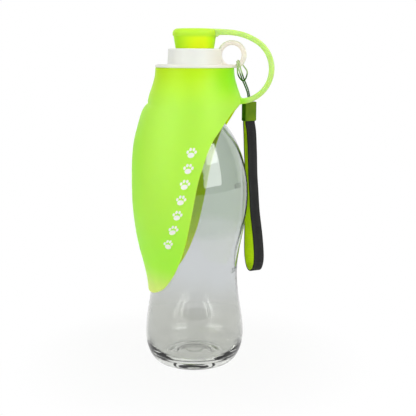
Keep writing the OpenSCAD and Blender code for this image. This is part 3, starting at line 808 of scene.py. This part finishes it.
def cream_plastic():
    """Cream moulded cap: warmer toward the right, where the ring is; painted shade in the corner
    where the flange meets the cylinder; faint mould grain, soft gloss.
    """
    f = Finish("cream_cap_plastic")
    place = f.place()
    x, y, z = f.axes(place)
    patch = f.noise(place, 60, 3.0)
    # warmer over the right half, where the ring is
    warm = x.ramp(0.005, 0.03)
    body = f.mix(warm * 0.8, "#EAECE5", "#F7EADC")
    body = f.mix(patch.ramp(0.35, 0.7) * 0.12, body, "#E6E0D2")
    # painted shade: darker in the corner where the flange's top meets the cylinder
    fold = (z - 0.2205).size().ramp(0.0006, 0.0, 0.0, 1.0)
    body = f.mix(fold * 0.25, body, "#D8CFBC")
    normal = f.bump(f.noise(place, 1500, 2.0), 0.00004, 0.6)
    return f.done(f.plastic(Base_Color=body, Roughness=patch.ramp(0.3, 0.7, 0.48, 0.58),
                            Subsurface_Weight=0.12, Subsurface_Radius=(0.004, 0.003, 0.002),
                            Subsurface_Scale=1.0, Normal=normal))


def silicone(name, body):
    """Soft satin silicone: body(finish, place) gives the colour; light soaks a few millimetres
    into it, and its skin has fine grain and slow unevenness."""
    f = Finish(name)
    place = f.noted("rest_place")
    cloud = f.noise(place, 45, 3.0)
    fine = f.noise(place, 1800, 2.0)
    normal = f.bump(fine * 0.25 + f.noise(place, 220, 2.0) * 1.5, 0.00005, 0.5)
    return f.done(f.plastic(Base_Color=body(f, place), Roughness=cloud.ramp(0.3, 0.7, 0.46, 0.56),
                            Subsurface_Weight=0.5, Subsurface_Radius=(0.004, 0.006, 0.0005),
                            Subsurface_Scale=1.0, Specular_IOR_Level=0.3, Normal=normal))


def paw_prints(down, across, out):
    """Mask of a row of small paw prints on the outside: in each step of the row one broad pad
    and four toes, each an ellipse with a soft edge."""
    row = PRINT_STEP * PRINTS
    inside = down.ramp(-1.0, -0.9) * down.ramp(row + 0.1, row)
    local = ((down / PRINT_STEP).part() - 0.5) * PRINT_STEP

    def spot(at, off, long, wide):
        return (((local - at) / long) ** 2 + ((across - off) / wide) ** 2).ramp(1.12, 0.9)

    marks = spot(1.6, 0.0, 1.9, 2.3)
    for at, off in ((-0.7, -2.7), (-2.6, -1.1), (-2.6, 1.1), (-0.7, 2.7)):
        marks = marks.most(spot(at, off, 1.25, 0.85))
    return marks * inside * out.ramp(0.0, 0.2)


def leaf_colour(f, place):
    """Lime silicone with painted light: deeper just under the flange and on the collar's right, a
    painted shade where the cap stands behind it and holds back light coming through; paler over
    the middle and at the thin tip, painted light shining through the wall; greener toward the left
    and low down; the inner face a brighter yellow, a painted glow of light coming through; the
    printed row in white."""
    x, y, z = f.axes(place)
    green = "#A4FC38"
    # painted shade: yellower and deeper under the flange, where the cap behind holds back light;
    # paler below, painted light shining through
    body = f.mix(z.ramp(0.219, 0.188), "#C1F800", "#B6F84A")
    # greener toward the left and low down
    body = f.mix((x * -1).ramp(0.028, 0.044) * 0.6, body, green)
    body = f.mix(z.ramp(0.125, 0.085) * 0.6, body, green)
    # painted light: paler at the thin tip, where light shines through
    body = f.mix(z.ramp(0.08, 0.056) * 0.9, body, "#DAEE7E")
    # painted shade: deeper green on the collar's right, where the cap behind holds back light
    right = x.ramp(0.006, 0.03) * z.ramp(0.192, 0.21)
    body = f.mix(right * 0.85, body, "#88EC00")
    down, across, out = f.axes(f.noted("print_place"))
    # painted light: the inner face a brighter yellow, a painted glow of light coming through the
    # wall
    body = f.mix(out.ramp(-0.0002, -0.0006), body, "#DAFF00")
    return f.mix(paw_prints(down, across, out), body, "#F4FAEE")


def strap_colour(f, place):
    """Pale lime strap, deeper where it leaves the collar."""
    x, y, z = f.axes(place)
    cloud = f.noise(place, 70, 2.0)
    body = f.mix(cloud * 0.5, "#C5EB7C", "#CBED8A")
    return f.mix(x.ramp(0.042, 0.034) * z.ramp(0.21, 0.2), body, "#B2F43E")


def stopper_colour(f, place):
    """Yellow-lime plug: lighter yellow a little right of its middle and duller toward both sides,
    painted shading of its round body; paler over the top band.
    """
    x, y, z = f.axes(place)
    # painted shading: duller on the left, lighter yellow right of the middle
    body = f.mix(x.ramp(-0.013, 0.004), "#B4EE00", "#E3FF00")
    # painted shading: duller again toward the right edge
    body = f.mix(x.ramp(0.008, 0.015), body, "#B8F000")
    # paler over the top band
    return f.mix(z.ramp(0.2385, 0.2415), body, "#C1F136")


def seal_grey():
    """Soft grey of the sealing ring, a little cloudy."""
    f = Finish("seal_soft_grey")
    place = f.place()
    cloud = f.noise(place, 120, 3.0)
    return f.done(f.plastic(Base_Color=f.mix(cloud, "#C3C6C3", "#D0D2CE"),
                            Roughness=0.6, Normal=f.bump(f.noise(place, 1500), 0.00004)))


def woven(name, base, light, count, depth):
    """Woven tape on its own run: warp and weft cross as two sine waves, the higher one shows."""
    f = Finish(name)
    uv = f.node("ShaderNodeUVMap", {"uv_map": "run"}, {})
    across, down, _ = f.axes(uv)
    warp = (across * (TURN * count)).sine()
    weft = (down * (TURN * count * 0.8)).sine()
    flip = (down * (TURN * count * 0.4)).sine() * (across * (TURN * count / 2)).sine()
    raised = flip.ramp(-0.3, 0.3) * warp.size() + (1 - flip.ramp(-0.3, 0.3)) * weft.size()
    fuzz = f.noise(f.place(), 2200, 2.0)
    patch = f.noise(f.place(), 110, 3.0)
    colour = f.mix(raised * 0.6 + fuzz * 0.25, base, light)
    colour = f.mix(patch.ramp(0.35, 0.7) * 0.3, colour, base)
    normal = f.bump(raised + fuzz * 0.4, depth, 0.8)
    return f.done(f.plastic(Base_Color=colour, Roughness=0.78, Sheen_Weight=0.06,
                            Sheen_Roughness=0.5, Specular_IOR_Level=0.2, Normal=normal))


def braided():
    """Braided cord: two families of strands wind round it in opposite directions; its loops round
    the ring are painted pale, a painted highlight of the bright light on them.
    """
    f = Finish("green_braid")
    uv = f.node("ShaderNodeUVMap", {"uv_map": "run"}, {})
    around, down, _ = f.axes(uv)
    left = (around * (TURN * 3) + down * (TURN / 1.1)).sine()
    right = (around * (TURN * 3) - down * (TURN / 1.1)).sine()
    strands = left.most(right)
    # painted highlight: the loops round the ring are painted pale for the bright light falling on
    # them
    pale = f.axes(f.noted("rest_place"))[2].ramp(0.2125, 0.216)
    dark = f.mix(pale * 0.8, "#2C5A00", "#9DBF62")
    light = f.mix(pale, "#417600", "#D8EAB4")
    colour = f.mix(strands.ramp(-0.2, 1.0), dark, light)
    return f.done(f.plastic(Base_Color=colour, Roughness=0.7, Specular_IOR_Level=0.1,
                            Normal=f.bump(strands, 0.00006)))


def olive_rubber():
    """Dark olive moulded sleeve, greener on its narrow side."""
    f = Finish("olive_sleeve_rubber")
    place = f.place()
    x, y, z = f.axes(place)
    cloud = f.noise(place, 160, 3.0)
    face = x * math.cos(SLEEVE_TURN) + y * math.sin(SLEEVE_TURN)
    body = f.mix(cloud.ramp(0.3, 0.75), "#5A7C00", "#6E8E00")
    body = f.mix(face.ramp(0.0318, 0.0308), body, "#387200")
    normal = f.bump(f.noise(place, 1400, 2.0), 0.00006, 0.8)
    return f.done(f.plastic(Base_Color=body, Roughness=cloud.ramp(0.3, 0.7, 0.38, 0.5),
                            Specular_IOR_Level=0.2, Normal=normal))


def mark_ink():
    """Worn grey ink."""
    f = Finish("scale_ink")
    place = f.place()
    worn = f.noise(place, 900, 3.0)
    return f.done(f.plastic(Base_Color=f.mix(worn.ramp(0.35, 0.7), "#5E6661",
                                             "#7C847F"), Roughness=0.5))


# ---- scale on the bottle ----------------------------------------------

INK = 0.05  # how far the marks stand off the wall


def make_scale():
    """Plain volume numbers and ticks, wrapped on the bottle: a numeral's x becomes an angle
    about Z, and its y a height."""
    marks = []
    for value, z, angle in (("600", 136.5, -25), ("400", 104.5, -9), ("200", 72.5, -12)):
        text = bpy.data.curves.new("mark_" + value, "FONT")
        text.body = value
        text.size = 5.2
        text.align_x = "RIGHT"
        text.align_y = "CENTER"
        flat = bpy.data.objects.new("mark_" + value, text)
        bpy.context.scene.collection.objects.link(flat)
        mesh = bpy.data.meshes.new_from_object(flat)
        bpy.data.objects.remove(flat)
        co = read_points(mesh)
        height = z + co[:, 1]
        radius = body_r(height) + INK
        place = polar(radius, math.radians(angle) + co[:, 0] / radius, height)
        mesh.vertices.foreach_set("co", (place * MM).ravel())
        mark = bpy.data.objects.new("mark_" + value, mesh)
        bpy.context.scene.collection.objects.link(mark)
        marks.append(mark)
    u = np.linspace(0, 1, 9)
    for i, z in enumerate(np.arange(64.5, 141, 8.0)):
        long = 6.0 if i % 4 == 1 else 3.5
        height = z + np.array([[-0.3], [0.3]])
        radius = body_r(height) + INK
        turn = math.radians(-10) + u * long / radius
        marks.append(surface("tick", polar(radius, turn, height)))
    return joined("volume_scale", marks)


# ---- dress the frame --------------------------------------------------

def dress(piece, material, body=None, replaces=()):
    """Gives a piece its material and slot, and the body and the nodes that it stands for."""
    piece.data.materials.clear()
    piece.data.materials.append(material)
    note(piece.data, "rest_place", read_points(piece.data))
    if body:
        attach(piece, body)
    if replaces:
        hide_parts(*replaces)
    return piece


cord, cord_line = make_cord()
web_outer = make_web("webbing_outer_tape", -WEB_T, -0.02)
web_inner = make_web("webbing_inner_tape", 0.02, WEB_T)
sleeve = make_sleeve()
dress(cord, braided())
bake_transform(cord)
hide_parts("lanyard_cord")
dress(web_outer, woven("charcoal_webbing", "#141414", "#333332", 1.15, 0.00022),
      "lanyard", ["webbing_outer"])
dress(web_inner, woven("lime_webbing", "#B0E000", "#DCF800", 1.15, 0.00022),
      "lanyard", ["webbing_inner"])
dress(sleeve, olive_rubber(), "lanyard", ["cord_sleeve"])

dress(make_bottle(), clear_plastic(), "bottle", ["bottle"])
dress(make_scale(), mark_ink(), "bottle")
dress(make_cap(), cream_plastic(), "cap", ["cap"])
dress(make_seal(), seal_grey(), "seal", ["cap_seal"])
dress(make_stopper(), silicone("lime_stopper_silicone", stopper_colour),
      "plug", ["stopper"])

bowl = dress(make_bowl(), silicone("lime_leaf_silicone", leaf_colour))
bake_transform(bowl)
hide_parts("bowl_collar", "bowl_leaf")
tether = dress(make_tether(), silicone("lime_tether_silicone", strap_colour))
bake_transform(tether)
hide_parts("tether_loop", "tether_arm")


# ---- floor, room and lamps --------------------------------------------

def make_floor():
    """Round white floor; for the camera, mirrors and the clear bottle it is mostly its own
    white, less what shades it."""
    angle = np.arange(96) * TURN / 96
    points = polar(np.array([0, 60, 150, 400, 1000, 3000])[:, None], angle, -0.05)
    plane = welded(surface("floor", points[::-1], loop_cols=True))
    f = Finish("floor_white")
    camera, mirror, through = f.rays("Camera", "Glossy", "Transmission")
    seen = camera.most(mirror).most(through)
    shade = f.node("ShaderNodeBsdfDiffuse", {}, {"Color": (0.8, 0.8, 0.8, 1)})
    glow = f.node("ShaderNodeEmission", {}, {"Color": (1, 1, 1, 1), "Strength": 1.0})
    x, y, z = f.axes(f.place())
    far = (x * x + y * y).ramp(0.002, 0.02, 0.86, 1.0)
    under = (x * x + y * y).ramp(0.0004, 0.0024, 0.85, 1.0)
    white = f.between(far * (1 - (1 - under) * through), shade, glow)
    plane.data.materials.append(f.done(f.between(seen, shade, white)))


def make_room():
    """White to the camera, a plain grey for what is lit by it, and in mirrors and through the
    bottle a studio: white behind, dark elsewhere, with a soft box on each side in front."""
    f = Finish("room", bpy.data.worlds)
    bpy.context.scene.world = f.holder
    camera, mirror, through = f.rays("Camera", "Glossy", "Transmission")
    around = f.node("ShaderNodeTexCoord", {}, {}, "Generated")

    def panel(azimuth, height, wide, high):
        """Mask of a rectangle in the direction given by azimuth and height in degrees."""
        a, h = math.radians(azimuth), math.radians(height)
        ahead = (math.cos(h) * math.cos(a), math.cos(h) * math.sin(a), math.sin(h))
        side = (-math.sin(a), math.cos(a), 0)
        up = (-math.sin(h) * math.cos(a), -math.sin(h) * math.sin(a), math.cos(h))
        dot = lambda v: f.node("ShaderNodeVectorMath", {"operation": "DOT_PRODUCT"},
                               [around, v], "Value")
        front = dot(ahead)
        reach = lambda v, half: (dot(v) / front.most(0.01)).size().ramp(
            math.tan(math.radians(half)) + 0.01, math.tan(math.radians(half)) - 0.01)
        return reach(side, wide) * reach(up, high) * front.ramp(0.0, 0.1)

    x, y, z = f.axes(around)
    studio = 0.14 + z.ramp(0.3, 1.0) * 0.2 + y.ramp(0.35, 0.6) * 0.9
    studio = studio + panel(-42, 23.5, 20.7, 20.5) * 5.0 + panel(-138, 23.5, 20.7, 20.5) * 6.0
    level = f.node("ShaderNodeMix", {}, {0: mirror.most(through), 2: 0.6, 3: studio})
    level = f.node("ShaderNodeMix", {}, {0: camera, 2: level, 3: 1.0})
    back = f.node("ShaderNodeBackground", {}, {"Color": (1, 1, 1, 1), "Strength": level})
    f.node("ShaderNodeOutputWorld", {}, {"Surface": back})


def soft_box(name, at, size, power):
    """A rectangular lamp that looks at the bottle's middle."""
    lamp = bpy.data.lights.new(name, "AREA")
    lamp.shape = "RECTANGLE"
    lamp.size, lamp.size_y = size
    lamp.energy = power
    holder = bpy.data.objects.new(name, lamp)
    holder.location = at
    holder.rotation_euler = (Vector((0, 0, 0.12)) - Vector(at)).to_track_quat("-Z", "Y").to_euler()
    bpy.context.scene.collection.objects.link(holder)


make_floor()
make_room()
soft_box("key_box", (0.78, -0.62, 0.95), (0.6, 0.75), 6)
soft_box("fill_box", (-0.9, -0.7, 0.5), (0.6, 0.8), 3)
soft_box("top_box", (0, 0.1, 1.2), (0.8, 0.8), 2)

bpy.context.view_layer.update()
